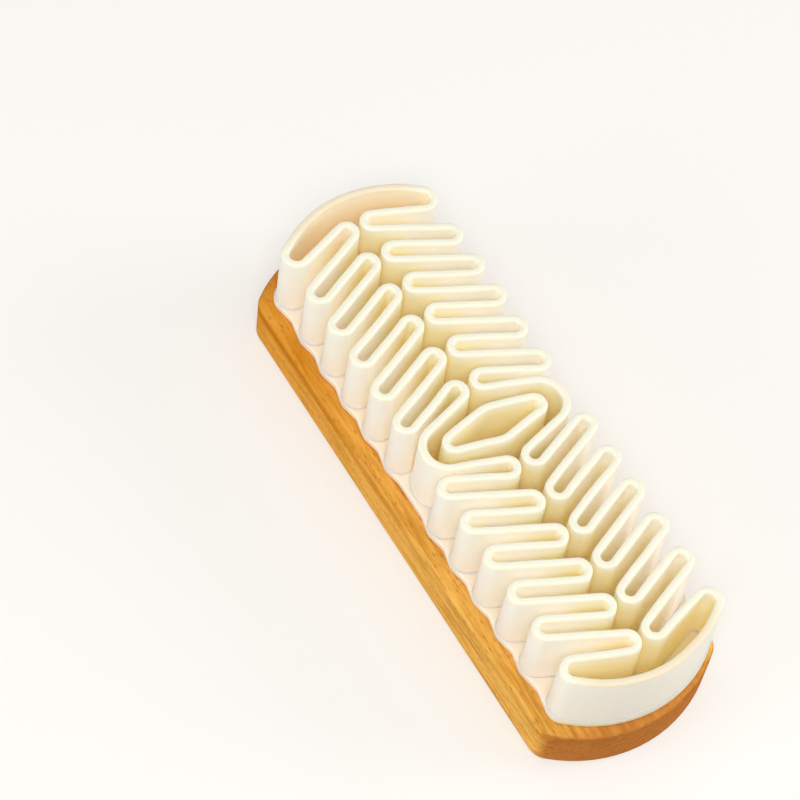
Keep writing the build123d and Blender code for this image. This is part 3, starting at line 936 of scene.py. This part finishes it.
def pale_world(colours):
    """Even light from all round, seen as pale paper."""
    world = bpy.data.worlds.new("Pale studio")
    world.use_nodes = True
    tree = world.node_tree
    tree.nodes.clear()
    light = add(tree, "ShaderNodeBackground", {"Color": (1, 1, 1, 1), "Strength": FILL_STRENGTH})
    seen = add(tree, "ShaderNodeBackground", {"Color": colours.paper_seen, "Strength": 1.0})
    both = add(tree, "ShaderNodeMixShader", {0: seen_directly(tree), 1: light, 2: seen})
    add(tree, "ShaderNodeOutputWorld", {"Surface": both})
    bpy.context.scene.world = world


SENSOR_WIDTH = 36.0     # in millimetres, as Blender counts it
NEAREST_SEEN = 0.01


def aimed_camera(stage):
    """Camera at the photograph's viewing angle."""
    azimuth, elevation, roll = stage.azimuth, stage.elevation, stage.roll
    back = Vector((
        math.sin(azimuth) * math.cos(elevation),
        -math.cos(azimuth) * math.cos(elevation),
        math.sin(elevation)))
    level = Vector((math.cos(azimuth), math.sin(azimuth), 0.0))
    up = back.cross(level)
    right = level * math.cos(roll) + up * math.sin(roll)
    up = back.cross(right)
    lens = bpy.data.cameras.new("Camera")
    lens.lens = stage.lens
    lens.sensor_width = SENSOR_WIDTH
    lens.clip_start = NEAREST_SEEN
    camera = bpy.data.objects.new("Camera", lens)
    turn = Matrix((right, up, back)).transposed().to_4x4()
    camera.matrix_world = Matrix.Translation(Vector(stage.aim) + back * stage.distance) @ turn
    bpy.context.scene.collection.objects.link(camera)
    bpy.context.scene.camera = camera


# Operators


def material_once(make, name):
    """The named material, made the first time it is asked for."""
    return bpy.data.materials.get(name) or make(bpy.context.scene.brush_colours)


END_GRAIN_FROM, END_GRAIN_FADE = 0.3, 0.45      # X of a normal where end grain begins, and its fade
ARRIS_TILT, ARRIS_FADE = 0.6, 0.35              # Z of a normal in the middle of an arris, where the painted highlight goes, and its fade


class BRUSH_OT_wooden_back(bpy.types.Operator):
    """Make the beech back, with rounded edges and end grain at its curved ends"""
    bl_idname = "brush.wooden_back"
    bl_label = "Wooden Back"

    def execute(self, context):
        back = context.scene.brush_back
        levels = rounded_levels(BACK_LOW.z, BACK_LOW.z + back.thickness, back.underside_round, back.top_round)
        mesh = stacked_mesh("beech_back", [(back_outline(back, out), height) for out, height in levels])
        end = mesh.attributes.new("end_grain", "FLOAT", "POINT")
        # The arrises get a painted highlight
        arris_highlight = mesh.attributes.new("arris_highlight", "FLOAT", "POINT")
        for vertex in mesh.vertices:
            across_grain = (abs(vertex.normal.x) - END_GRAIN_FROM) / END_GRAIN_FADE
            off_arris = abs(abs(vertex.normal.z) - ARRIS_TILT) / ARRIS_FADE
            end.data[vertex.index].value = min(1.0, max(0.0, across_grain))
            arris_highlight.data[vertex.index].value = max(0.0, 1 - off_arris)
        piece = add_piece("beech_back", mesh, material_once(lacquered_beech, "Lacquered beech"))
        place_in_frame(piece, "wooden_back")
        return {"FINISHED"}


class BRUSH_OT_glue_film(bpy.types.Operator):
    """Make the film of cement between the wood and the rubber"""
    bl_idname = "brush.glue_film"
    bl_label = "Glue Film"

    def execute(self, context):
        sheet = context.scene.brush_sheet
        edge = outline(FoldPlan(context.scene.brush_wall).sheet_path(sheet), -sheet.glue_setback)
        mesh = stacked_mesh("cement_film", [(edge, GLUE_LOW.z), (edge, GLUE_HIGH.z)])
        mesh.shade_flat()
        piece = add_piece("cement_film", mesh, material_once(contact_cement, "Contact cement"))
        place_in_frame(piece, "glue_film")
        return {"FINISHED"}


class BRUSH_OT_base_sheet(bpy.types.Operator):
    """Make the rubber sheet that carries the folds, with its scalloped edge"""
    bl_idname = "brush.base_sheet"
    bl_label = "Base Sheet"

    def execute(self, context):
        sheet = context.scene.brush_sheet
        turns = FoldPlan(context.scene.brush_wall).sheet_path(sheet)
        levels = rounded_levels(SHEET_LOW.z, SHEET_HIGH.z, SHEET_LOW_ROUND, sheet.edge_round)
        mesh = stacked_mesh("base_sheet", [(outline(turns, out), height) for out, height in levels])
        piece = add_piece("base_sheet", mesh, material_once(cream_rubber, "Cream natural rubber"))
        place_in_frame(piece, "rubber_base_sheet")
        return {"FINISHED"}


class BRUSH_OT_rubber_walls(bpy.types.Operator):
    """Raise the folded wall and the centre ring along their paths"""
    bl_idname = "brush.rubber_walls"
    bl_label = "Rubber Walls"

    def execute(self, context):
        wall = context.scene.brush_wall
        plan = FoldPlan(wall)
        tree = wall_tree()
        sizes = {
            "Height": WALL_HIGH.z - SHEET_HIGH.z + FOOT_SUNK, "Foot Level": SHEET_HIGH.z - FOOT_SUNK,
            "Foot Thickness": wall.foot_thickness, "Rim Thickness": wall.rim_thickness,
            "Rim Round": wall.rim_round, "Foot Flare": wall.foot_flare,
            "Sway": wall.sway, "Sway Length": wall.sway_length, "Seed": wall.seed,
            "Spacing": WALL_STEP, "Rubber": material_once(cream_rubber, "Cream natural rubber")}
        for name, turns, node, outside_inner in (
                ("folded_wall", plan.folded_path(), "folded_rubber_wall", 0.0),
                ("centre_ring", plan.ring_path(), "centre_rubber_ring", 1.0)):
            piece = raised_wall(name, tree, turns, {**sizes, "Outside Inner": outside_inner})
            if len(piece.data.polygons) < FEWEST_FACES:
                raise RuntimeError(name + " came out empty")
            place_in_frame(piece, node)
        return {"FINISHED"}


class BRUSH_OT_stage(bpy.types.Operator):
    """Set up the paper floor, the lamps and the camera"""
    bl_idname = "brush.stage"
    bl_label = "Stage"

    def execute(self, context):
        stage = context.scene.brush_stage
        colours = context.scene.brush_colours
        half = stage.floor_size / 2
        mesh = bpy.data.meshes.new("paper_floor")
        corners = [(-half, -half), (half, -half), (half, half), (-half, half)]
        mesh.from_pydata([(x, y, BACK_LOW.z) for x, y in corners], [], [(0, 1, 2, 3)])
        add_piece("paper_floor", mesh, pale_paper(colours))
        pale_world(colours)
        for lamp in LAMPS:
            add_lamp(*lamp)
        aimed_camera(stage)
        context.scene.view_settings.view_transform = "Standard"
        context.scene.cycles.max_bounces = BOUNCES
        context.scene.cycles.diffuse_bounces = BOUNCES
        return {"FINISHED"}


OPERATORS = (
    BRUSH_OT_stage, BRUSH_OT_wooden_back, BRUSH_OT_glue_film, BRUSH_OT_base_sheet, BRUSH_OT_rubber_walls)
SETTINGS = (
    ("brush_back", BackSizes), ("brush_sheet", SheetSizes), ("brush_wall", WallSizes),
    ("brush_colours", BrushColours), ("brush_stage", StageSizes))


class BRUSH_PT_sidebar(bpy.types.Panel):
    """Lists the brush's pieces and their settings"""
    bl_idname = "BRUSH_PT_sidebar"
    bl_label = "Suede Brush"
    bl_space_type = "VIEW_3D"
    bl_region_type = "UI"
    bl_category = "Suede Brush"

    def draw(self, context):
        for operator in OPERATORS:
            self.layout.operator(operator.bl_idname)
        for name, group in SETTINGS:
            box = self.layout.box()
            box.label(text=group.bl_rna.description)
            for setting in group.__annotations__:
                box.prop(getattr(context.scene, name), setting)


def register():
    """Makes the settings, operators and panel known to Blender."""
    for name, group in SETTINGS:
        bpy.utils.register_class(group)
        setattr(bpy.types.Scene, name, PointerProperty(type=group))
    for item in OPERATORS + (BRUSH_PT_sidebar,):
        bpy.utils.register_class(item)


def unregister():
    """Takes them away again."""
    for item in reversed(OPERATORS + (BRUSH_PT_sidebar,)):
        bpy.utils.unregister_class(item)
    for name, group in reversed(SETTINGS):
        delattr(bpy.types.Scene, name)
        bpy.utils.unregister_class(group)


def main():
    """Makes the stage and every piece."""
    register()
    bpy.ops.brush.stage()
    bpy.ops.brush.wooden_back()
    bpy.ops.brush.glue_film()
    bpy.ops.brush.base_sheet()
    bpy.ops.brush.rubber_walls()


if __name__ == "__main__":
    main()
